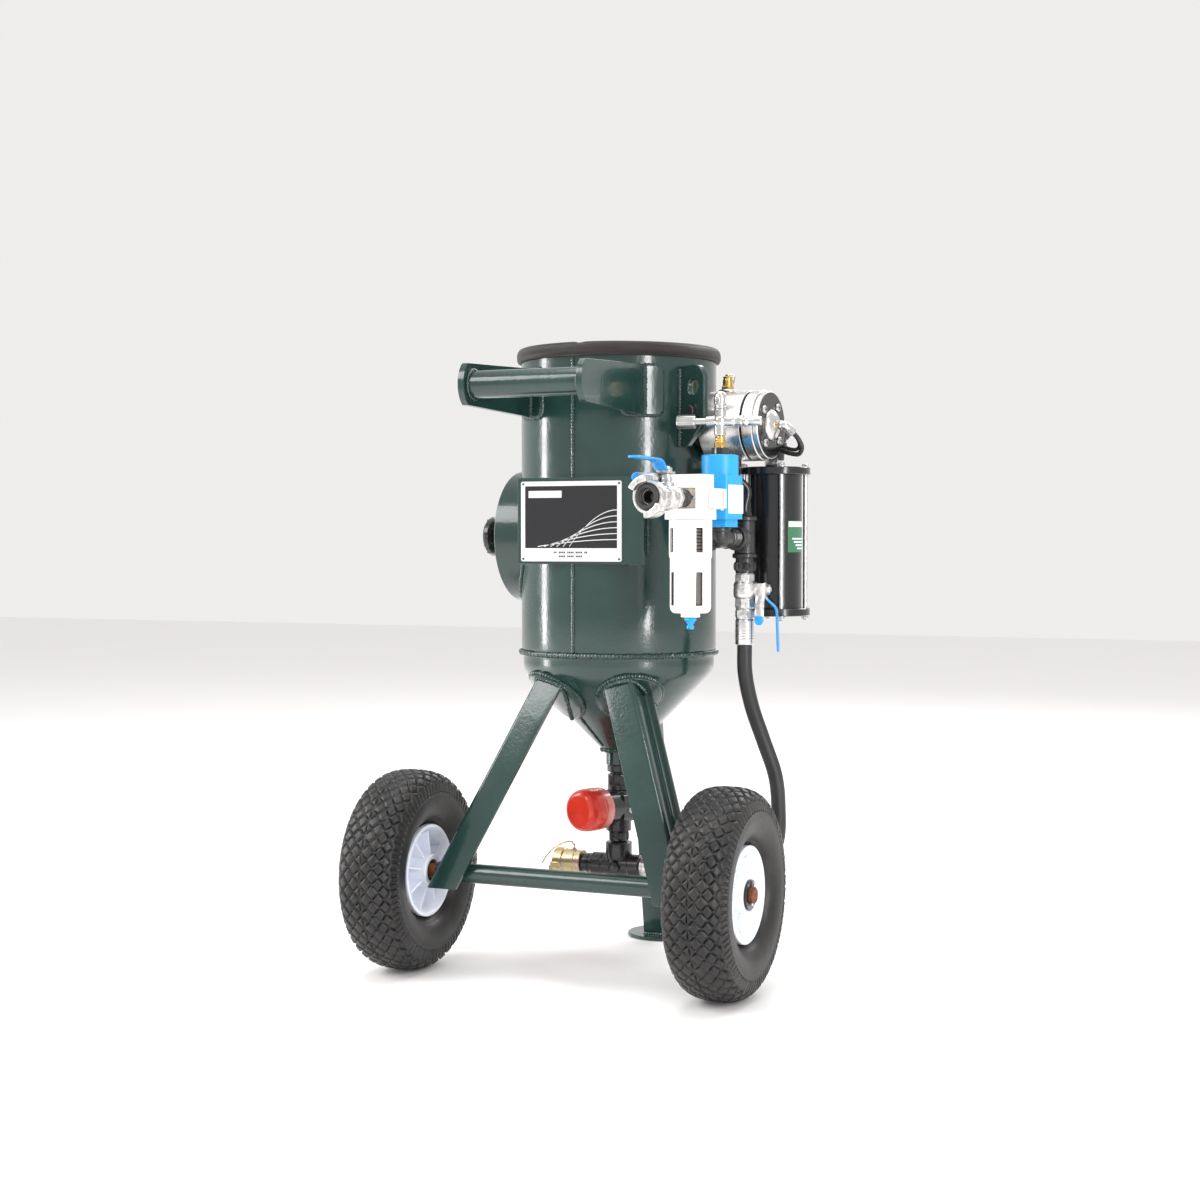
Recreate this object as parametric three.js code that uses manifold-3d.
// Portable abrasive blast pot on two wheels and one foot. Millimetres, +Z up, axle along X, handle towards -Y.
import * as THREE from "three";
import { mergeVertices } from "three/addons/utils/BufferGeometryUtils.js";
import Module from "manifold-3d";

const kernel = await Module();
kernel.setup();

// ---------- driving dimensions ----------
const gap = 0.3; // air left between neighbouring pieces
const vesselR = 130;
const wall = 4;
const topZ = 806; // bare edge of the shell
const girthZ = 411; // weld between the shell and the bottom
const neckR = 25; // small end of the bottom cone
const trimR = 136;
const wheelR = 130;
const wheelW = 82;
const track = 440;
const axleY = -178;
const axleR = 10;
const rimR = 60;
const footY = 157;
const footR = 50;
const legSpread = 152; // half distance between the front legs at the axle
const legAngle = 32; // where the front legs meet the cone, from the front
const handleY = -274;
const handleZ = 750;
const handleHalf = 75;
const handleR = 17;
const trainTurn = 8; // the air inlet line is turned this much from straight ahead
const filterAhead = 165;
const filterOut = vesselR + 38.5;
const inletZ = 611;
const remoteZ = 707;
const remoteR = 45.5;
const mufflerR = 35.5;
const mufflerH = 174;
const outletZ = 123;

// ---------- helpers ----------
const v = (x, y, z) => new THREE.Vector3(x, y, z);
const rad = THREE.MathUtils.degToRad;
const up = v(0, 0, 1);

// One closed surface with shared corners, as a solid for the boolean kernel.
function solidOf(geometry) {
  const flat = geometry.index ? geometry.toNonIndexed() : geometry;
  const bare = new THREE.BufferGeometry().setAttribute(
    "position",
    flat.getAttribute("position").clone(),
  );
  const merged = mergeVertices(bare, 1e-4);
  const corners = [];
  const index = merged.index.array;
  for (let i = 0; i < index.length; i += 3) {
    const [a, b, c] = [index[i], index[i + 1], index[i + 2]];
    if (a !== b && b !== c && c !== a) corners.push(a, b, c);
  }
  const build = (triVerts) => {
    const mesh = new kernel.Mesh({
      numProp: 3,
      vertProperties: new Float32Array(merged.attributes.position.array),
      triVerts: new Uint32Array(triVerts),
    });
    mesh.merge();
    return new kernel.Manifold(mesh);
  };
  const made = build(corners);
  if (made.volume() >= 0) return made;
  const turned = [];
  for (let i = 0; i < corners.length; i += 3)
    turned.push(corners[i], corners[i + 2], corners[i + 1]);
  return build(turned);
}

function geometryOf(solid) {
  const m = solid.getMesh();
  const xyz = new Float32Array(m.numVert * 3);
  for (let i = 0; i < m.numVert; i++)
    xyz.set(m.vertProperties.subarray(i * m.numProp, i * m.numProp + 3), i * 3);
  return new THREE.BufferGeometry()
    .setAttribute("position", new THREE.BufferAttribute(xyz, 3))
    .setIndex(new THREE.BufferAttribute(new Uint32Array(m.triVerts), 1));
}

const join = (...g) => geometryOf(g.map(solidOf).reduce((a, b) => a.add(b)));
const cut = (g, ...tools) =>
  geometryOf(tools.map(solidOf).reduce((a, b) => a.subtract(b), solidOf(g)));
const shared = (g, h) => geometryOf(solidOf(g).intersect(solidOf(h)));

// Moves a geometry so that its own Z runs along `along`, and its own X as near to `side` as it can.
function placed(geometry, origin, along, side) {
  const z = along.clone().normalize();
  const ref = side ?? (Math.abs(z.z) < 0.9 ? up : v(1, 0, 0));
  const y = z.clone().cross(ref).normalize();
  const x = y.clone().cross(z);
  return geometry.applyMatrix4(
    new THREE.Matrix4().makeBasis(x, y, z).setPosition(origin),
  );
}

// Round pieces get this share of the facet counts listed below; bars of 8 sides or fewer keep theirs.
const facetShare = 0.5;
const facets = (sides) => (sides > 8 ? 2 * Math.round((sides * facetShare) / 2) : sides);

// A round (or, with six sides, hexagonal) bar from a to b.
function rod(r, a, b, sides = 20, rEnd = r, side) {
  const length = a.distanceTo(b);
  const g = new THREE.CylinderGeometry(rEnd, r, length, facets(sides))
    .rotateX(Math.PI / 2)
    .translate(0, 0, length / 2);
  return placed(g, a, b.clone().sub(a), side);
}

// A body of revolution: the outline is [radius, height] pairs, closed by itself.
function turned(outline, origin = v(0, 0, 0), axis = up, sides = 32) {
  const points = [...outline, outline[0]].map(([r, h]) => new THREE.Vector2(r, h));
  const g = new THREE.LatheGeometry(points, facets(sides)).rotateX(Math.PI / 2);
  return placed(g, origin, axis);
}

const shapeOf = (points) =>
  new THREE.Shape(points.map(([x, y]) => new THREE.Vector2(x, y)));

function roundedRect(x0, y0, x1, y1, r) {
  const s = new THREE.Shape();
  s.moveTo(x0 + r, y0).lineTo(x1 - r, y0).absarc(x1 - r, y0 + r, r, -Math.PI / 2, 0);
  s.lineTo(x1, y1 - r).absarc(x1 - r, y1 - r, r, 0, Math.PI / 2);
  s.lineTo(x0 + r, y1).absarc(x0 + r, y1 - r, r, Math.PI / 2, Math.PI);
  s.lineTo(x0, y0 + r).absarc(x0 + r, y0 + r, r, Math.PI, 1.5 * Math.PI);
  return s;
}

// A flat shape given some thickness along `along`.
function slab(shape, thick, origin, along, side, steps = 4) {
  const g = new THREE.ExtrudeGeometry(shape, {
    depth: thick,
    bevelEnabled: false,
    curveSegments: steps,
  });
  return placed(g, origin, along, side);
}

const block = (w, d, h, at) =>
  new THREE.BoxGeometry(w, d, h).translate(at.x, at.y, at.z);

// A box with its length along `along` and its width along `side`, centred on its base.
function boxAlong(w, h, length, origin, along, side) {
  return slab(
    shapeOf([
      [-w / 2, -h / 2],
      [w / 2, -h / 2],
      [w / 2, h / 2],
      [-w / 2, h / 2],
    ]),
    length,
    origin,
    along,
    side,
  );
}

// A bent flat strip: a centre line in a plane, given thickness and width.
function strip(line, thick, width, origin, along, side) {
  const p = line.map(([x, y]) => new THREE.Vector2(x, y));
  const one = [];
  const two = [];
  p.forEach((q, i) => {
    const before = i ? q.clone().sub(p[i - 1]).normalize() : null;
    const after = i < p.length - 1 ? p[i + 1].clone().sub(q).normalize() : null;
    const t = (before ?? after).clone().add(after ?? before).normalize();
    const n = new THREE.Vector2(-t.y, t.x);
    const stretch = before && after ? 1 / Math.max(0.4, t.dot(before)) : 1;
    one.push(q.clone().addScaledVector(n, (thick / 2) * stretch));
    two.unshift(q.clone().addScaledVector(n, (-thick / 2) * stretch));
  });
  return slab(new THREE.Shape([...one, ...two]), width, origin, along, side);
}

const ringOf = (r, sides) =>
  shapeOf(
    Array.from({ length: sides }, (_, k) => [
      r * Math.cos((2 * Math.PI * k) / sides),
      r * Math.sin((2 * Math.PI * k) / sides),
    ]),
  );

// A round bar along a smooth curve through the points.
function sweep(points, r, sides = 12, steps = 24) {
  const curve = new THREE.CatmullRomCurve3(points, false, "centripetal");
  return new THREE.ExtrudeGeometry(ringOf(r, sides), { steps, extrudePath: curve, bevelEnabled: false });
}

// ---------- materials ----------
const paint = (color, roughness = 0.4, metalness = 0) =>
  new THREE.MeshStandardMaterial({ color, roughness, metalness });
const green = paint(0x2f4a44, 0.25);
const black = paint(0x151617, 0.5);
const rubber = paint(0x202022, 0.85);
const steel = paint(0xb9bcc0, 0.3, 1);
const chrome = paint(0xd2d4d8, 0.15, 1);
const brass = paint(0xc49a4a, 0.3, 1);
const offWhite = paint(0xe9e3da, 0.5);
const white = paint(0xeef0f5, 0.5);
const blue = paint(0x2f9ae6, 0.4);
const red = paint(0xe6492f, 0.4);
const zinc = paint(0xc3ad7c, 0.35, 1);
const rusty = paint(0x7a4a30, 0.7, 0.5);
const beige = paint(0xcdb6a2, 0.6);

const object = new THREE.Group();
function add(name, geometry, material) {
  const flat = geometryOf(solidOf(geometry)).toNonIndexed();
  flat.computeVertexNormals();
  const mesh = new THREE.Mesh(flat, material);
  mesh.name = name;
  object.add(mesh);
  return mesh;
}

// ---------- vessel ----------
const lowR = vesselR - 2.5; // the bottom is a little smaller than the shell
const kneeZ = girthZ - 22;
const coneEndZ = kneeZ - 8 - (lowR - 4 - neckR); // 45 degree cone
const socketZ = coneEndZ - 24;
const coneR = (z) => neckR + (z - coneEndZ); // outer radius of the cone at a height

const shellBody = turned(
  [
    [vesselR, topZ],
    [vesselR, girthZ + 5],
    [vesselR + 2, girthZ + 2],
    [vesselR + 1.6, girthZ - 3],
    [lowR, girthZ - 6],
    [lowR, kneeZ + 6],
    [lowR - 1.4, kneeZ - 2],
    [lowR - 4, kneeZ - 8],
    [neckR, coneEndZ],
    [neckR - 2, coneEndZ - 3],
    [16, coneEndZ - 4],
    [16, socketZ],
    [10, socketZ],
    [10, coneEndZ],
    [lowR - 4 - wall * 1.6, kneeZ - 6],
    [vesselR - wall, kneeZ + 12],
    [vesselR - wall, topZ],
  ],
  v(0, 0, 0),
  up,
  56,
);
const handZ = 565;
const handR = 88;
const handEnd = -(vesselR + 13);
const handDoor = v(-1, 0, 0);
add(
  "vessel_shell",
  cut(shellBody, rod(handR - 7, v(0, 0, handZ), v(-vesselR - 40, 0, handZ), 40)),
  green,
);

// The hand hole: a short neck, a cover plate in it, a yoke across it and a knob on a stud.
const shellSpace = rod(vesselR + gap, v(0, 0, handZ - 120), v(0, 0, handZ + 120), 56);
add(
  "handhole_neck",
  cut(
    join(
      rod(handR, v(-40, 0, handZ), v(handEnd, 0, handZ), 40),
      boxAlong(10, 26, 60, v(-118, 0, handZ + handR), v(-0.35, 0, -1), v(0, 1, 0)),
    ),
    rod(handR - 7, v(0, 0, handZ), v(handEnd - 20, 0, handZ), 40),
    shellSpace,
  ),
  green,
);
add(
  "handhole_cover",
  join(
    rod(handR - 8, v(handEnd + 12, 0, handZ), v(handEnd + 4, 0, handZ), 32),
    rod(24, v(handEnd + 5, 0, handZ), v(handEnd + 1, 0, handZ), 20),
  ),
  green,
);
const yokeX = handEnd - 1;
const studR = 6;
const knobFace = handEnd - 51;
add(
  "handhole_yoke",
  cut(
    join(
      boxAlong(28, 12, 2 * handR - 14, v(yokeX - 12, 0, handZ - handR + 7), up, v(0, 1, 0)),
      block(12, 26, 20, v(yokeX - 6.5, 0, handZ + handR - 18)),
      block(12, 26, 20, v(yokeX - 6.5, 0, handZ - handR + 18)),
    ),
    rod(studR + 1, v(yokeX - 30, 0, handZ), v(yokeX + 5, 0, handZ), 20),
  ),
  black,
);
add(
  "handhole_knob",
  join(
    turned(
      [
        [0, 0],
        [11, 0],
        [13, 12],
        [24, 16],
        [26, 19],
        [26, 24],
        [24, 27],
        [0, 27],
      ],
      v(knobFace + 27, 0, handZ),
      handDoor,
      28,
    ),
    rod(studR, v(knobFace + 26, 0, handZ), v(handEnd + 1 - gap, 0, handZ), 20),
    rod(11, v(knobFace + 26, 0, handZ), v(yokeX - 18 - gap, 0, handZ), 6),
  ),
  black,
);

// The funnel in the top, the pop-up valve under it, and the riser that lifts the valve.
const dishTop = topZ - 14;
const portZ = dishTop - 46;
add(
  "fill_dish",
  turned(
    [
      [vesselR - wall - gap, dishTop],
      [vesselR - wall - 6, dishTop],
      [40, portZ + 8],
      [37, portZ + 4],
      [37, portZ],
      [46, portZ],
      [46, portZ + 3],
      [vesselR - wall - gap, dishTop - 6],
    ],
    v(0, 0, 0),
    up,
    56,
  ),
  green,
);
const popZ = portZ - 12;
add(
  "popup_valve",
  turned(
    [
      [0, popZ + 14],
      [10, popZ + 13],
      [42, popZ + 1],
      [43, popZ - 2],
      [42, popZ - 6],
      [14, popZ - 9],
      [8.4, popZ - 12],
      [8.4, popZ - 30],
      [0, popZ - 30],
    ],
    v(0, 0, 0),
    up,
    36,
  ),
  rubber,
);
const riserZ = popZ - 15;
add(
  "air_riser",
  cut(
    join(
      rod(15, v(0, 0, remoteZ - 16), v(0, 0, riserZ), 24),
      rod(13, v(0, 0, remoteZ), v(vesselR - wall - 4, -0.2, remoteZ), 20),
    ),
    rod(9.6, v(0, 0, remoteZ - 10), v(0, 0, riserZ + 5), 20),
    rod(8, v(0, 0, remoteZ - 2), v(vesselR, -0.2, remoteZ - 2), 16),
  ),
  steel,
);
add(
  "rim_trim",
  turned(
    [
      [trimR - 1, topZ - 11],
      [trimR, topZ + 2],
      [trimR - 4, topZ + 7],
      [vesselR - wall - 1, topZ + 7],
      [vesselR - wall - 5, topZ + 2],
      [vesselR - wall - 4, topZ - 11],
      [vesselR - wall - gap, topZ - 11],
      [vesselR - wall - gap, topZ + gap],
      [vesselR + gap, topZ + gap],
      [vesselR + gap, topZ - 11],
    ],
    v(0, 0, 0),
    up,
    56,
  ),
  rubber,
);

// ---------- handle ----------
// A pad that follows the shell between two angles from the front.
function curvedPad(a0, a1, z0, z1, r0, r1) {
  const s = new THREE.Shape();
  const steps = 8;
  const at = (r, a) => [r * Math.sin(rad(a)), -r * Math.cos(rad(a))];
  const pts = [];
  for (let i = 0; i <= steps; i++) pts.push(at(r1, a0 + ((a1 - a0) * i) / steps));
  for (let i = steps; i >= 0; i--) pts.push(at(r0, a0 + ((a1 - a0) * i) / steps));
  return slab(shapeOf(pts), z1 - z0, v(0, 0, z0), up, v(1, 0, 0));
}
const handleH = 60;
const plateT = 8;
const padR = vesselR + 5.5;
for (const [name, s] of [
  ["handle_plate_left", -1],
  ["handle_plate_right", 1],
]) {
  const outline = new THREE.Shape();
  const front = handleY - 25;
  const rear = -Math.sqrt(padR ** 2 - (handleHalf + plateT) ** 2) + 6;
  // drawn in Y (along) and Z (across)
  outline.moveTo(front + 20, -handleH / 2);
  outline.lineTo(rear, -handleH / 2 - 1);
  outline.lineTo(rear, handleH / 2 + 3);
  outline.lineTo(front + 20, handleH / 2);
  outline.bezierCurveTo(front + 6, handleH / 2, front, handleH / 2 - 9, front, 0);
  outline.bezierCurveTo(front, -handleH / 2 + 9, front + 6, -handleH / 2, front + 20, -handleH / 2);
  const x0 = s > 0 ? handleHalf : -handleHalf - plateT;
  const plate = slab(outline, plateT, v(x0, 0, handleZ), v(1, 0, 0), v(0, 1, 0), 6);
  const mid = (Math.asin((handleHalf + plateT / 2) / padR) * 180) / Math.PI;
  const [a, b] = [mid - 12, mid + 12.5].map((t) => s * t);
  const pad = curvedPad(
    Math.min(a, b),
    Math.max(a, b),
    handleZ - 31,
    handleZ + 32,
    vesselR + gap,
    padR,
  );
  add(
    name,
    join(
      cut(plate, rod(padR - 1, v(0, 0, handleZ - 60), v(0, 0, handleZ + 60), 56)),
      pad,
    ),
    green,
  );
}
add(
  "handle_tube",
  cut(
    rod(handleR, v(-handleHalf + gap, handleY, handleZ), v(handleHalf - gap, handleY, handleZ), 28),
    rod(handleR - 3, v(-handleHalf - 5, handleY, handleZ), v(handleHalf + 5, handleY, handleZ), 20),
  ),
  green,
);

// ---------- lug and name plate ----------
const lugAngle = rad(62.3);
const lugOut = v(Math.sin(lugAngle), -Math.cos(lugAngle), 0);
const lugSide = v(Math.cos(lugAngle), Math.sin(lugAngle), 0);
{
  const [low, high, deep] = [679.5, 783, 46];
  const s = new THREE.Shape();
  s.moveTo(0, high).lineTo(deep - 16, high);
  s.absarc(deep - 16, high - 16, 16, Math.PI / 2, 0, true);
  s.lineTo(deep, low + 30).lineTo(14, low).lineTo(0, low);
  const root = lugOut
    .clone()
    .multiplyScalar(vesselR + gap + 0.2)
    .addScaledVector(lugSide, 4);
  const bolt = lugOut.clone().multiplyScalar(vesselR + 26).setZ(724);
  const eye = lugOut.clone().multiplyScalar(vesselR + 26).setZ(755);
  add(
    "lug_plate",
    cut(
      join(
        slab(s, 8, root, lugSide.clone().negate(), lugOut, 5),
        rod(7, bolt.clone().addScaledVector(lugSide, -10), bolt, 6),
      ),
      rod(10, eye.clone().addScaledVector(lugSide, -20), eye.clone().addScaledVector(lugSide, 20)),
    ),
    green,
  );
}
const plateY = -(vesselR + 4.5);
const plateBox = { x0: -83, x1: 94, z0: 529, z1: 640 };
{
  const { x0, x1, z0, z1 } = plateBox;
  const sheet = block(x1 - x0, 2, z1 - z0, v((x0 + x1) / 2, plateY - 1, (z0 + z1) / 2));
  const rib = (x) => block(3, 60, z1 - z0 - 20, v(x, plateY + 28, (z0 + z1) / 2));
  add(
    "plate_bracket",
    cut(
      join(sheet, rib(x0 + 12), rib(x1 - 12)),
      rod(vesselR + gap, v(0, 0, z0 - 20), v(0, 0, z1 + 20), 56),
    ),
    green,
  );
  add(
    "name_plate",
    slab(
      roundedRect(-77.2, 532.5, 64.2, 635, 2),
      1.6,
      v(0, plateY - 2 - gap, 0),
      v(0, -1, 0),
      v(1, 0, 0),
    ),
    steel,
  );
}

// ---------- legs, axle and foot ----------
const coneSpace = (extra) =>
  turned(
    [
      [0, coneEndZ - 10],
      [neckR - 10 + extra * 1.414, coneEndZ - 10],
      [lowR - 4 + extra * 1.414, kneeZ - 8],
      [lowR - 1.4 + extra * 1.2, kneeZ - 2],
      [lowR + extra, kneeZ + 6],
      [lowR + extra, girthZ + 40],
      [0, girthZ + 40],
    ],
    v(0, 0, 0),
    up,
    56,
  );
const legW = 33;
const legD = 28;
const barT = 10;
// the front legs: a broad face ahead of the axle, a flange down the outer side and a lip turned outwards
const faceW = 40;
const faceAhead = 36;
const foldT = 5;
const legPadR = 42;
const lipW = 10;
function foldedOutline(s) {
  const [x0, x1] = [-faceW / 2, faceW / 2];
  const points = [
    [x0, faceAhead],
    [x1, faceAhead],
    [x1, 0],
    [x1 + lipW, 0],
    [x1 + lipW, -foldT],
    [x1 - foldT, -foldT],
    [x1 - foldT, faceAhead - foldT],
    [x0, faceAhead - foldT],
  ];
  return points.map(([a, b]) => [a * s, b]);
}
function legOutline() {
  const [w, d, r] = [legW / 2, legD / 2, 6];
  const outer = new THREE.Shape();
  outer.moveTo(-w, -d).lineTo(-w, d - r).absarc(-w + r, d - r, r, Math.PI, Math.PI / 2, true);
  outer.lineTo(w - r, d).absarc(w - r, d - r, r, Math.PI / 2, 0, true);
  outer.lineTo(w, -d);
  return outer.getPoints(3).map((p) => [p.x, p.y]);
}
// A leg from the cone to its lower end: a folded face with a flange for `outer` 1 or -1, or a channel with a
// flat bar along its open side for 0.
function leg(name, top, bottom, face, tools, angle, outer, foot = []) {
  const along = bottom.clone().sub(top).normalize();
  const n = face.clone().addScaledVector(along, -face.dot(along)).normalize();
  const x = n.clone().cross(along).normalize(); // width direction
  const length = top.distanceTo(bottom);
  const start = top.clone().addScaledVector(along, -60);
  const make = (shape, from, len) =>
    slab(shape, len, start.clone().addScaledVector(along, from), along, x, 3);
  const extra = outer ? 35 : 0; // the front legs are cut level below the axle
  const width = legW / 2;
  const depth = legD / 2;
  // `slab` puts its own Y on along x side, which is -n here, so the outlines are drawn with that sign
  const dir = along.clone().cross(x).dot(n) > 0 ? 1 : -1;
  const flip = (pts) => shapeOf(pts.map(([a, b]) => [a, b * dir]));
  const shell = flip(legOutline());
  const hollow = flip([
    [-width + 4, -depth - 1],
    [width - 4, -depth - 1],
    [width - 4, depth - 4],
    [-width + 4, depth - 4],
  ]);
  const bar = flip([
    [-width - 3, -depth - barT],
    [width + 3, -depth - barT],
    [width + 3, -depth],
    [-width - 3, -depth],
  ]);
  const folded = () => make(flip(foldedOutline(x.x > 0 ? outer : -outer)), 0, length + 60 + extra);
  const backed = () =>
    join(cut(make(shell, 0, length + 60), make(hollow, -5, length + 80)), make(bar, 76, length - 16));
  const a = rad(angle);
  const padAt = v(Math.sin(a) * coneR(top.z), -Math.cos(a) * coneR(top.z), top.z);
  const padAxis = v(Math.sin(a), -Math.cos(a), -1).normalize();
  const pad = cut(
    shared(
      rod(
        legPadR,
        padAt.clone().addScaledVector(padAxis, -20),
        padAt.clone().addScaledVector(padAxis, 20),
        24,
      ),
      coneSpace(5.5),
    ),
    coneSpace(gap),
  );
  const channel = cut(outer ? folded() : backed(), coneSpace(5), ...tools);
  add(name, join(channel, pad, ...foot), green);
}
const axleAt = (x) => v(x, axleY, wheelR);
const legTopZ = girthZ - 54;
const legTop = (a) =>
  v(Math.sin(rad(a)) * coneR(legTopZ), -Math.cos(rad(a)) * coneR(legTopZ), legTopZ);
const tubeR = 12.7;
const tubeHalf = legSpread + 24;
const legReach = 183; // the legs end this far out, just short of the hubs
for (const [name, s] of [
  ["leg_left", -1],
  ["leg_right", 1],
]) {
  const beta = rad(7);
  leg(
    name,
    legTop(s * legAngle),
    v(s * legSpread, axleY + 8, wheelR - 12),
    v(s * Math.sin(beta), -Math.cos(beta), 0),
    [
      rod(tubeR + gap, axleAt(-tubeHalf - 20), axleAt(tubeHalf + 20), 28),
      block(500, 200, 60, v(0, axleY, wheelR - 17 - 30)),
      block(60, 300, 400, v(s * (legReach + 30), axleY, wheelR + 60)),
    ],
    s * legAngle,
    s,
  );
}
const footT = 5;
leg(
  "leg_rear",
  legTop(180),
  v(0, footY, footT),
  v(0, 1, 0),
  [block(200, 200, 100, v(0, footY, footT - 1 - 50))],
  180,
  0,
  [
    turned(
      [
        [0, 0],
        [footR - 1, 0],
        [footR, 1],
        [footR, footT - 1],
        [footR - 1, footT],
        [0, footT],
      ],
      v(0, footY, 0),
      up,
      36,
    ),
  ],
);
add(
  "axle_tube",
  cut(
    rod(tubeR, axleAt(-tubeHalf), axleAt(tubeHalf), 28),
    rod(axleR + gap, axleAt(-tubeHalf - 5), axleAt(tubeHalf + 5), 20),
  ),
  green,
);
const boreR = axleR + 1; // wide enough for the corners of the axle at any turn of the wheel
const wheelX = track / 2;
const hubIn = 34;
const hubOut = 30;
const axleEnd = wheelX + hubOut + 9;
const washerAt = wheelX + hubOut + gap;
add(
  "axle",
  join(
    rod(axleR, axleAt(-axleEnd), axleAt(axleEnd), 20),
    ...[-1, 1].map((s) => rod(19, axleAt(s * washerAt), axleAt(s * (washerAt + 3)), 24)),
  ),
  rusty,
);

for (const [side, s] of [
  ["left", -1],
  ["right", 1],
]) {
  const out = v(s, 0, 0);
  const c = axleAt(s * wheelX);
  const beadR = rimR + gap;
  const outside = [
    [beadR, 21],
    [rimR + 16, 33],
    [rimR + 34, wheelW / 2],
    [rimR + 52, wheelW / 2 - 1],
    [wheelR - 6, wheelW / 2 - 11],
    [wheelR, 12],
  ];
  const inside = [
    [wheelR - 22, 30],
    [rimR + 18, 27],
    [beadR, 16],
  ];
  const opposite = (list) => [...list].reverse().map(([r, h]) => [r, -h]);
  const section = [...outside, ...opposite(outside), ...opposite(inside), [wheelR - 11, 0], ...inside];
  add(`tyre_${side}`, turned(section, c, out, 48), rubber);
  // rim: barrel, web and hub in one moulding, with ribs on both faces
  const barrel = [
    [rimR, 29],
    [rimR, 22],
    [rimR - 8, 12],
    [rimR - 8, -12],
    [rimR, -22],
    [rimR, -29],
    [rimR - 4, -29],
    [rimR - 13, -12],
    [rimR - 13, -3],
    [19, -3],
    [19, -hubIn],
    [boreR, -hubIn],
    [boreR, hubOut],
    [19, hubOut],
    [19, 3],
    [rimR - 13, 3],
    [rimR - 13, 12],
    [rimR - 4, 29],
  ];
  const ribs = [];
  for (let k = 0; k < 4; k++) {
    const a = (Math.PI * k) / 4;
    ribs.push(
      boxAlong(
        3,
        2 * (rimR - 11),
        40,
        c.clone().addScaledVector(out, -20),
        out,
        v(0, Math.cos(a), Math.sin(a)),
      ),
    );
  }
  add(
    `rim_${side}`,
    cut(
      join(turned(barrel, c, out, 32), ...ribs),
      rod(
        boreR,
        c.clone().addScaledVector(out, -hubIn - 3),
        c.clone().addScaledVector(out, hubOut + 3),
        20,
      ),
    ),
    white,
  );
}

// ---------- air inlet line ----------
const turn = rad(trainTurn);
const ahead = v(-Math.sin(turn), -Math.cos(turn), 0);
const across = v(Math.cos(turn), -Math.sin(turn), 0);
const filterAt = v(filterOut, -filterAhead, 0);
// a point by its distance ahead of the filter, to its right, and its height
const line = (a, s, z) =>
  filterAt.clone().addScaledVector(ahead, a).addScaledVector(across, s).setZ(z);

const headW = 47;
const headD = 37;
{
  const headTop = inletZ + 29;
  const box = (w, d, z0, z1) =>
    slab(roundedRect(-w / 2, -d / 2, w / 2, d / 2, 3), z1 - z0, line(0, 0, z0), up, across, 3);
  add(
    "filter_head",
    cut(
      join(box(headW, headD, inletZ - 14, headTop), box(headW + 5, headD + 6, inletZ - 26, inletZ - 13)),
      boxAlong(34, 25, 4, line(headD / 2 + 1, 0, inletZ), ahead.clone().negate(), across),
    ),
    offWhite,
  );
}
add(
  "filter_link",
  join(
    boxAlong(33, 26, 32.4, line(-headD / 2 - gap, 0, inletZ), ahead.clone().negate(), across),
    boxAlong(3, 24, 40, line(-2, headW / 2 + 2.2, inletZ), ahead.clone().negate(), across),
    boxAlong(12, 20, 12, line(-30, headW / 2 - 3.5, inletZ), ahead.clone().negate(), across),
  ),
  offWhite,
);
const bowlTop = inletZ - 26 - gap;
const bowlEnd = inletZ - 141;
{
  const r = 26.5;
  const guard = turned(
    [
      [r, bowlTop],
      [r, bowlTop - 46],
      [r - 1.2, bowlTop - 47],
      [r - 1.2, bowlEnd + 5],
      [r - 5, bowlEnd],
      [12, bowlEnd],
      [12, bowlEnd - 5],
      [8.5, bowlEnd - 5],
      [8.5, bowlEnd + 3],
      [r - 6, bowlEnd + 3],
      [r - 3.4, bowlEnd + 8],
      [r - 3.4, bowlTop],
    ],
    line(0, 0, 0),
    up,
    32,
  );
  const slots = [];
  for (const k of [0, 1])
    for (const [z0, z1] of [
      [bowlTop - 40, bowlTop - 10],
      [bowlTop - 105, bowlTop - 64],
    ]) {
      const a = rad(47 + 90 * k);
      const dir = v(Math.sin(a), -Math.cos(a), 0);
      slots.push(
        boxAlong(9.5, 80, z1 - z0, line(0, 0, z0), up, v(-dir.y, dir.x, 0)),
      );
    }
  add("filter_guard", cut(guard, ...slots), offWhite);
  add(
    "filter_bowl",
    turned(
      [
        [0, bowlTop - 2],
        [22, bowlTop - 2],
        [22, bowlEnd + 12],
        [18, bowlEnd + 5],
        [7, bowlEnd + 5],
        [7, bowlEnd - 3],
        [0, bowlEnd - 3],
      ],
      line(0, 0, 0),
      up,
      24,
    ),
    beige,
  );
}
add(
  "filter_drain",
  join(
    rod(8, line(0, 0, bowlEnd - 5.3), line(0, 0, bowlEnd - 12), 8),
    rod(4.5, line(0, 0, bowlEnd - 11), line(0, 0, bowlEnd - 20), 12),
  ),
  blue,
);
const nippleStart = headD / 2 - 3 + gap;
add(
  "inlet_nipple",
  join(
    rod(11, line(nippleStart, 0, inletZ), line(headD / 2 + 18, 0, inletZ), 24),
    rod(13, line(headD / 2 + 7, 0, inletZ), line(headD / 2 + 17, 0, inletZ), 6),
  ),
  black,
);
const valveStart = headD / 2 + 18 + gap;
const inletStem = 28; // the stem stands this high over the line
add(
  "inlet_valve",
  join(
    rod(14.5, line(valveStart, 0, inletZ), line(valveStart + 9, 0, inletZ), 24),
    rod(12.5, line(valveStart + 8, 0, inletZ), line(valveStart + 13, 0, inletZ), 20),
    rod(16.5, line(valveStart + 12, 0, inletZ), line(valveStart + 30, 0, inletZ), 8),
    rod(13, line(valveStart + 29, 0, inletZ), line(valveStart + 42, 0, inletZ), 20),
    rod(6, line(valveStart + 21, 0, inletZ), line(valveStart + 21, 0, inletZ + inletStem), 16),
  ),
  chrome,
);
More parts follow.
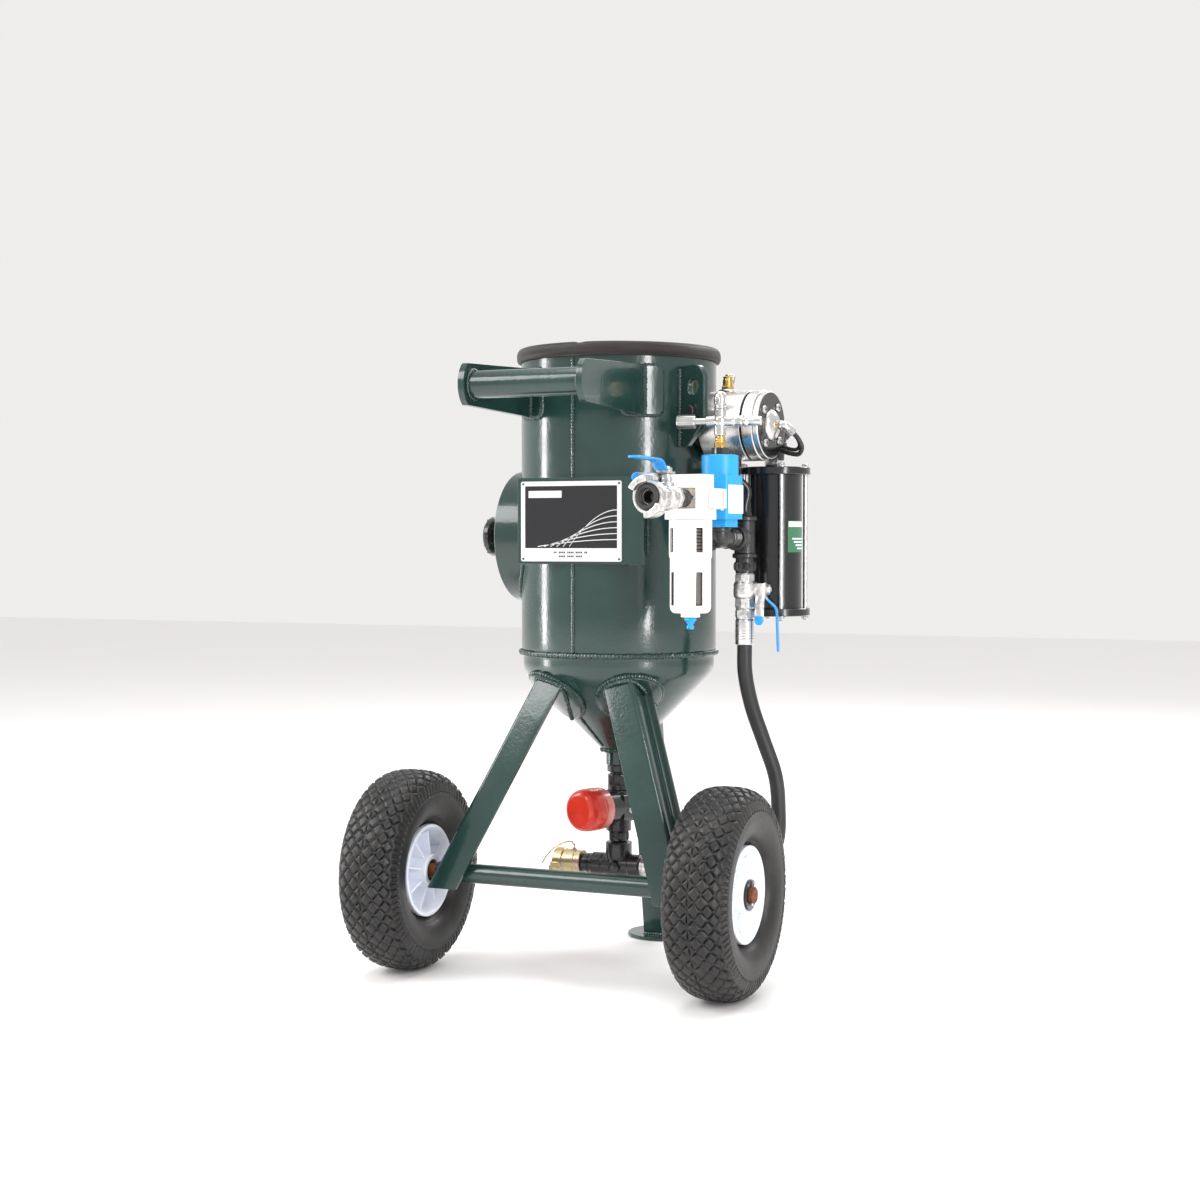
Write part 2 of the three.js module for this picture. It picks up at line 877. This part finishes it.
const claw0 = valveStart + 42 + gap;
const claw1 = claw0 + 25;
{
  const body = turned(
    [
      [8, 0],
      [14, 0],
      [14, 8],
      [20.5, 12],
      [20.5, 25],
      [16.6, 25],
      [16.6, 21],
      [8, 21],
    ],
    line(claw0, 0, inletZ),
    ahead,
    28,
  );
  // `across` is to the object's right, so a claw's angle is counted from it
  const claw = (angle) => {
    const a = rad(angle);
    const r = 21;
    const dir = across.clone().multiplyScalar(Math.cos(a)).addScaledVector(up, Math.sin(a));
    const tang = across.clone().multiplyScalar(-Math.sin(a)).addScaledVector(up, Math.cos(a));
    const c = line(claw0 + 12, 0, inletZ).addScaledVector(dir, r - 4);
    return join(
      boxAlong(7.5, 18, 20, c.clone().addScaledVector(dir, 4.2), ahead, dir),
      boxAlong(
        6.5,
        14,
        8,
        c.clone().addScaledVector(ahead, 13).addScaledVector(tang, 7).addScaledVector(dir, 3.8),
        ahead,
        dir,
      ),
    );
  };
  add("inlet_coupling", join(body, claw(112), claw(292)), chrome);
}
add(
  "coupling_seal",
  turned(
    [
      [8.5, 21.3],
      [16.2, 21.3],
      [16.2, 26],
      [14, 28],
      [10.5, 28],
      [8.5, 26],
    ],
    line(claw0, 0, inletZ),
    ahead,
    28,
  ),
  rubber,
);
const leverReach = 80;
const wingReach = 45;
// A lever of bent sheet on the end of a stem: a long cranked arm along `way`, and a wing that is folded down
// towards the valve along one edge and leads off beside it.
function lever(name, stemEnd, stem, way) {
  const width = 18;
  const side = way.clone().cross(stem).normalize();
  const corner = stemEnd.clone().addScaledVector(side, -width / 2);
  // outlines are drawn along `way` and along the stem
  const long = strip(
    [
      [-9, 0],
      [10, 0],
      [24, 15],
      [leverReach, 17],
    ],
    2.6,
    width,
    corner,
    side,
    way,
  );
  const wing = strip(
    [
      [-8, -8.2],
      [10, -8.2],
      [30, -20.5],
      [wingReach, -21.5],
    ],
    2.4,
    12,
    stemEnd.clone().addScaledVector(stem, -12),
    stem,
    way,
  );
  const nut = rod(
    7,
    stemEnd.clone().addScaledVector(stem, -0.5),
    stemEnd.clone().addScaledVector(stem, 8),
    6,
  );
  add(name, join(long, wing, nut), blue);
}
lever(
  "inlet_lever",
  line(valveStart + 21, 0, inletZ + inletStem + 1.3 + gap),
  up,
  ahead,
);

// ---------- control valve stack ----------
const pilotBack = 75;
const pilotAt = (z) => line(-pilotBack, 0, z);
{
  const z0 = inletZ - 25;
  const round = rod(23.2, pilotAt(inletZ + 22), pilotAt(inletZ + 56), 32);
  const body = slab(
    roundedRect(-22, -22, 22, 22, 5),
    inletZ + 30 - z0,
    pilotAt(z0),
    up,
    across,
    3,
  );
  const foot = slab(roundedRect(-18, -16, 16, 16, 2), 11, line(-pilotBack, -3, z0 - 10), up, across, 3);
  add("pilot_valve", join(round, body, foot), blue);
}
const pilotTop = inletZ + 56;
add(
  "brass_fitting",
  join(
    rod(9.5, pilotAt(pilotTop + gap), pilotAt(pilotTop + 9), 20),
    rod(8.5, pilotAt(pilotTop + 8), pilotAt(pilotTop + 16), 6),
    rod(6, pilotAt(pilotTop + 15), pilotAt(pilotTop + 24), 16),
  ),
  brass,
);
const crossZ = pilotTop + 42;
const arm = v(Math.cos(rad(12)), Math.sin(rad(12)), 0);
const crossAt = (s, z = crossZ) => pilotAt(z).addScaledVector(arm, s);
add(
  "control_cross",
  join(
    rod(7.5, pilotAt(pilotTop + 24 + gap), pilotAt(crossZ + 16), 16),
    rod(7, crossAt(-18), crossAt(18), 16),
    rod(5.2, crossAt(17), crossAt(53), 12),
    rod(7.4, crossAt(20), crossAt(28), 6),
    rod(4.5, crossAt(-17), crossAt(-32), 12),
    rod(9, crossAt(-31), crossAt(-55), 6),
  ),
  chrome,
);
add(
  "bleed_cap",
  join(
    rod(8, pilotAt(crossZ + 16 + gap), pilotAt(crossZ + 30), 12),
    rod(8, pilotAt(crossZ + 30), pilotAt(crossZ + 38), 12, 4),
  ),
  chrome,
);

// ---------- remote valve ----------
const remoteTurn = rad(5);
const remoteDir = v(Math.cos(remoteTurn), -Math.sin(remoteTurn), 0);
const remoteSide = v(Math.sin(remoteTurn), Math.cos(remoteTurn), 0);
const remoteAt = (s, d = 0, z = remoteZ) =>
  remoteDir.clone().multiplyScalar(vesselR + s).addScaledVector(remoteSide, d).setZ(z);
const remoteLen = 84;
add(
  "valve_flange",
  cut(
    rod(34, remoteAt(-14), remoteAt(9), 32),
    rod(vesselR + gap, v(0, 0, remoteZ - 60), v(0, 0, remoteZ + 60), 56),
  ),
  black,
);
add(
  "valve_cylinder",
  turned(
    [
      [0, 0],
      [remoteR - 1, 0],
      [remoteR, 1],
      [remoteR, remoteLen - 26],
      [remoteR - 2, remoteLen - 25.5],
      [remoteR - 2, remoteLen - 22.5],
      [remoteR, remoteLen - 22],
      [remoteR, remoteLen - 9],
      [remoteR - 1.5, remoteLen - 8],
      [0, remoteLen - 8],
    ],
    remoteAt(9 + gap),
    remoteDir,
    44,
  ),
  steel,
);
const capStart = remoteLen + 1 + 2 * gap;
{
  const plate = rod(remoteR - 2, remoteAt(capStart), remoteAt(capStart + 7), 40);
  const screws = [45, 135, 225, 315].map((a) => {
    const d = 30 * Math.cos(rad(a + 6));
    const z = remoteZ + 30 * Math.sin(rad(a + 6));
    return rod(5.5, remoteAt(capStart + 6.5, d, z), remoteAt(capStart + 10.5, d, z), 12);
  });
  add("end_cap", join(plate, ...screws), black);
}
const domeAt = capStart + 7 + gap;
add(
  "cap_elbow",
  join(
    turned(
      [
        [0, 0],
        [20, 0],
        [19, 3],
        [14, 7],
        [6, 9],
        [0, 9.5],
      ],
      remoteAt(domeAt),
      remoteDir,
      28,
    ),
    rod(6, remoteAt(domeAt + 8), remoteAt(domeAt + 17, 0.1), 12),
    rod(6.5, remoteAt(domeAt + 14, -1, remoteZ + 1), remoteAt(domeAt + 24, 12, remoteZ - 9), 10),
  ),
  chrome,
);
const tubeFrom = remoteAt(domeAt + 24.8, 12.9, remoteZ - 9.8);
add(
  "signal_tube",
  sweep(
    [
      tubeFrom,
      remoteAt(domeAt + 29, 19, remoteZ - 17),
      remoteAt(domeAt + 32, 24, remoteZ - 28),
      remoteAt(domeAt + 26, 29, remoteZ - 36),
      remoteAt(domeAt + 12, 33, remoteZ - 35),
      remoteAt(domeAt - 2, 38, remoteZ - 31),
      remoteAt(domeAt - 12, 42, remoteZ - 28),
    ],
    3,
    8,
    20,
  ),
  rubber,
);
const reliefAt = (z) => remoteAt(31, 0, z);
const reliefZ = remoteZ + remoteR;
add(
  "safety_valve",
  cut(
    join(
      rod(7.5, reliefAt(reliefZ - 3), reliefAt(reliefZ + 7), 6),
      rod(6, reliefAt(reliefZ + 6), reliefAt(reliefZ + 19), 16),
    ),
    rod(remoteR + gap, remoteAt(5), remoteAt(60), 44),
    rod(2.4, reliefAt(reliefZ + 10), reliefAt(reliefZ + 25), 12),
  ),
  brass,
);
{
  const beside = reliefAt(0).clone().addScaledVector(arm, 8.4);
  const ring = placed(new THREE.TorusGeometry(5.6, 0.9, 8, 20), beside.clone().setZ(reliefZ + 14.6), arm);
  const link = rod(1.1, reliefAt(reliefZ + 21.2), beside.clone().setZ(reliefZ + 20.6), 8);
  add("safety_ring", join(ring, link, rod(1.8, reliefAt(reliefZ + 11), reliefAt(reliefZ + 23), 10)), steel);
}

// ---------- silencer ----------
const mufflerAt = (z, dx = 0, dy = 0) => v(vesselR + 76.7 + dx, 38 + dy, z);
const mufflerTop = remoteZ - 52;
const topPlateT = 10;
{
  const rods = [31, 121, 211, 301].map((a) => {
    const [x, y] = [41 * Math.sin(rad(a)), -41 * Math.cos(rad(a))];
    return join(
      rod(3, mufflerAt(mufflerTop + 5, x, y), mufflerAt(mufflerTop - topPlateT - mufflerH - 16, x, y), 10),
      rod(5, mufflerAt(mufflerTop - 1, x, y), mufflerAt(mufflerTop + 4, x, y), 6),
      rod(
        5,
        mufflerAt(mufflerTop - topPlateT - mufflerH - 9.4, x, y),
        mufflerAt(mufflerTop - topPlateT - mufflerH - 14.5, x, y),
        6,
      ),
    );
  });
  add(
    "muffler_frame",
    join(
      rod(46.5, mufflerAt(mufflerTop - topPlateT), mufflerAt(mufflerTop), 36),
      rod(
        46.5,
        mufflerAt(mufflerTop - topPlateT - mufflerH - 10),
        mufflerAt(mufflerTop - topPlateT - mufflerH),
        36,
      ),
      ...rods,
    ),
    black,
  );
}
add(
  "muffler_body",
  cut(
    rod(
      mufflerR,
      mufflerAt(mufflerTop - topPlateT - mufflerH + gap),
      mufflerAt(mufflerTop - topPlateT - gap),
      36,
    ),
    rod(
      mufflerR - 4,
      mufflerAt(mufflerTop - topPlateT - mufflerH - 5),
      mufflerAt(mufflerTop - topPlateT + 5),
      28,
    ),
  ),
  black,
);
add(
  "exhaust_elbow",
  cut(
    join(
      rod(12, mufflerAt(mufflerTop + gap), mufflerAt(mufflerTop + 12), 20),
      rod(14, mufflerAt(mufflerTop + gap + 2), mufflerAt(mufflerTop + 9), 6),
      rod(12, mufflerAt(mufflerTop + 8, 0, 0.3), mufflerAt(remoteZ - 14, 1, 4), 20),
      rod(13, mufflerAt(remoteZ - 24, 1, 3), mufflerAt(remoteZ + 6, 2, 5), 20),
      rod(12, mufflerAt(remoteZ - 6, 2, 5), remoteAt(50, 20, remoteZ - 6), 20),
      rod(13.5, mufflerAt(remoteZ - 4, 0, 6), mufflerAt(remoteZ - 4, 9, 20), 16),
    ),
    rod(remoteR + gap, remoteAt(5), remoteAt(capStart + 20), 44),
  ),
  black,
);

// ---------- tee, hose valve and hose ----------
const teeBack = 141.5;
const teeZ = inletZ - 48.5;
const teeAt = (z) => line(-teeBack, 0, z);
const elbowBack = pilotBack;
const pipeEnd = remoteAt(46, -9, remoteZ - remoteR * Math.cos(Math.asin(9 / remoteR)));
add(
  "supply_pipework",
  cut(
    join(
      rod(13.5, teeAt(teeZ - 26), teeAt(teeZ + 28), 24),
      rod(16, teeAt(teeZ + 22), teeAt(teeZ + 28), 24),
      rod(16, teeAt(teeZ - 26), teeAt(teeZ - 20), 24),
      rod(13.5, teeAt(teeZ), line(-teeBack + 28, 0, teeZ), 24),
      rod(16, line(-teeBack + 22, 0, teeZ), line(-teeBack + 28, 0, teeZ), 24),
      // branch to a boss on the vessel wall
      rod(13.5, teeAt(teeZ), v(vesselR - 5, teeAt(0).y, teeZ), 24),
      rod(16, v(vesselR + 16, teeAt(0).y, teeZ), v(vesselR - 5, teeAt(0).y, teeZ), 24),
      // elbow up to the control valve
      rod(11, line(-teeBack + 27, 0, teeZ), line(-elbowBack - 14, 0, teeZ), 20),
      rod(13, line(-elbowBack - 20, 0, teeZ), line(-elbowBack + 10, 0, teeZ), 20),
      rod(13, line(-elbowBack, 0, teeZ - 10), line(-elbowBack, 0, inletZ - 35 - gap), 20),
      // bush down to the hose valve
      rod(12, teeAt(teeZ - 25), teeAt(teeZ - 45), 20),
      rod(15.5, teeAt(teeZ - 31), teeAt(teeZ - 42), 6),
      // pipe up to the remote valve
      sweep(
        [
          teeAt(teeZ + 27),
          teeAt(teeZ + 40),
          teeAt(teeZ + 62).add(v(2, 3, 0)),
          pipeEnd.clone().add(v(3, -3, -22)),
          pipeEnd.clone().add(v(0, 0, 4)),
        ],
        6,
        12,
        16,
      ),
    ),
    rod(remoteR + gap, remoteAt(5), remoteAt(capStart - 5), 44),
    rod(vesselR + gap, v(0, 0, teeZ - 40), v(0, 0, teeZ + 40), 56),
  ),
  black,
);
const hoseValveZ = teeZ - 45 - gap;
const hoseStem = v(0.97, 0.24, 0).normalize();
const stemReach = 25;
add(
  "hose_valve",
  join(
    rod(13.2, teeAt(hoseValveZ), teeAt(hoseValveZ - 12), 8),
    rod(14.5, teeAt(hoseValveZ - 11), teeAt(hoseValveZ - 32), 24),
    rod(13.2, teeAt(hoseValveZ - 31), teeAt(hoseValveZ - 46), 8),
    rod(6, teeAt(hoseValveZ - 21), teeAt(hoseValveZ - 21).addScaledVector(hoseStem, stemReach), 16),
  ),
  chrome,
);
lever(
  "hose_lever",
  teeAt(hoseValveZ - 21).addScaledVector(hoseStem, stemReach + 1.3 + gap),
  hoseStem,
  v(0, 0, -1),
);
const ferruleZ = hoseValveZ - 46 - gap;
add(
  "hose_ferrule",
  join(
    rod(13, teeAt(ferruleZ), teeAt(ferruleZ - 13), 6),
    rod(12, teeAt(ferruleZ - 12), teeAt(ferruleZ - 46), 24),
  ),
  chrome,
);
const hoseTop = ferruleZ - 46 - gap;
const hoseEnd = v(58.4, 0, outletZ);
add(
  "supply_hose",
  sweep(
    [
      teeAt(hoseTop - 0.4),
      teeAt(hoseTop - 36).add(v(0.6, 0.4, 0)),
      v(vesselR + 64, -12.3, hoseTop - 81),
      v(vesselR + 76, -2.8, hoseTop - 123.6),
      v(vesselR + 89.5, 6.9, hoseTop - 171.5),
      v(vesselR + 92, 12.3, hoseTop - 213.5),
      v(vesselR + 89, 14, outletZ + 42.5),
      v(vesselR + 68.5, 14.1, outletZ + 6.1),
      v(vesselR + 36.5, 11, outletZ - 14.4),
      v(vesselR + 2.5, 6.4, outletZ - 18),
      v(91, 0.6, outletZ - 5.3),
      v(79, 0, outletZ - 1.9),
      v(70, 0, outletZ - 0.2),
      hoseEnd,
    ],
    9.6,
    10,
    40,
  ),
  rubber,
);

// ---------- outlet under the cone ----------
const meter = v(-Math.sin(rad(20)), -Math.cos(rad(20)), 0);
const meterSide = v(Math.cos(rad(20)), -Math.sin(rad(20)), 0);
const sandZ = 203;
add(
  "outlet_nipple",
  cut(
    join(
      rod(15.5, v(0, 0, socketZ - gap), v(0, 0, socketZ - 9), 20),
      rod(11.5, v(0, 0, socketZ - 8), v(0, 0, sandZ + 41), 16),
      rod(16.5, v(0, 0, sandZ + 43), v(0, 0, sandZ + 28), 6),
      rod(15, v(0, 0, sandZ + 29), v(0, 0, sandZ + 22), 16),
    ),
    rod(8.5, v(0, 0, socketZ + 5), v(0, 0, sandZ), 16),
  ),
  black,
);
{
  const c = v(0, 0, sandZ);
  const p = (d, s = 0, z = 0) =>
    c.clone().addScaledVector(meter, d).addScaledVector(meterSide, s).add(v(0, 0, z));
  add(
    "sand_valve",
    cut(
      join(
        rod(22, p(-20), p(34), 28),
        rod(17, v(0, 0, sandZ + 22 - gap), v(0, 0, sandZ - 33), 24),
        boxAlong(36, 34, 30, p(-19, 3), meter, meterSide),
        rod(6, p(-2, 20, -4), p(-2, 26, -4), 12),
      ),
      rod(9, v(0, 0, sandZ + 40), v(0, 0, sandZ - 50), 16),
      rod(17, p(31), p(40), 24),
    ),
    black,
  );
  add(
    "meter_knob",
    turned(
      [
        [0, 0],
        [16, 0],
        [16, 4],
        [28, 4],
        [28.4, 30],
        [27, 40],
        [24, 44],
        [20, 46],
        [0, 46],
      ],
      p(31.6),
      meter,
      32,
    ),
    red,
  );
}
add(
  "outlet_tee",
  cut(
    join(
      rod(15, v(0, 0, sandZ - 33 - gap), v(0, 0, sandZ - 47), 6),
      rod(11, v(0, 0, sandZ - 46), v(0, 0, outletZ + 31), 16),
      rod(17.8, v(0, 0, outletZ + 32), v(0, 0, outletZ + 8), 24),
      rod(17.8, v(0, 0, outletZ + 9), v(0, 0, outletZ - 8), 24, 10),
      rod(15.5, v(-37, 0, outletZ), v(33, 0, outletZ), 24),
      rod(12.5, v(-36, 0, outletZ), v(-52, 0, outletZ), 20),
    ),
    rod(8.5, v(0, 0, outletZ), v(0, 0, sandZ), 16),
    rod(8.5, v(-60, 0, outletZ), v(60, 0, outletZ), 16),
  ),
  black,
);
add(
  "hose_tail",
  cut(
    join(
      rod(12, v(33 + gap, 0, outletZ), v(58 - gap, 0, outletZ), 20),
      rod(13.5, v(36, 0, outletZ), v(43, 0, outletZ), 6),
    ),
    rod(6, v(20, 0, outletZ), v(70, 0, outletZ), 12),
  ),
  chrome,
);
{
  const lug = (s) => block(9, 10, 12, v(-86, 17 * s, outletZ + 3 * s));
  add(
    "blast_coupling",
    cut(
      join(
        rod(17, v(-52 - gap, 0, outletZ), v(-80, 0, outletZ), 28),
        rod(18.5, v(-78, 0, outletZ), v(-92, 0, outletZ), 28),
        lug(1),
        lug(-1),
      ),
      rod(8, v(-40, 0, outletZ), v(-100, 0, outletZ), 16),
      rod(13, v(-84, 0, outletZ), v(-100, 0, outletZ), 20),
      rod(2, v(-66, 0, outletZ + 12), v(-66, 0, outletZ + 25), 10),
    ),
    zinc,
  );
}
add(
  "coupling_clip",
  join(
    rod(1.4, v(-66, 0, outletZ + 13.2), v(-66, 0, outletZ + 27), 10),
    sweep(
      [
        v(-66, 0, outletZ + 26),
        v(-76, -3, outletZ + 27),
        v(-92, -9, outletZ + 19),
        v(-102, -13, outletZ + 7),
        v(-108, -14, outletZ - 3),
      ],
      1.2,
      8,
      16,
    ),
  ),
  steel,
);

// ---------- export frame: origin under the middle of the object ----------
const solidParts = object.children.filter((m) => m.name !== "supply_hose");
const box = new THREE.Box3();
for (const m of solidParts) box.expandByObject(m);
const centre = box.getCenter(new THREE.Vector3());
object.position.set(-centre.x, -centre.y, -box.min.z);
object.updateMatrixWorld(true);

export default object;
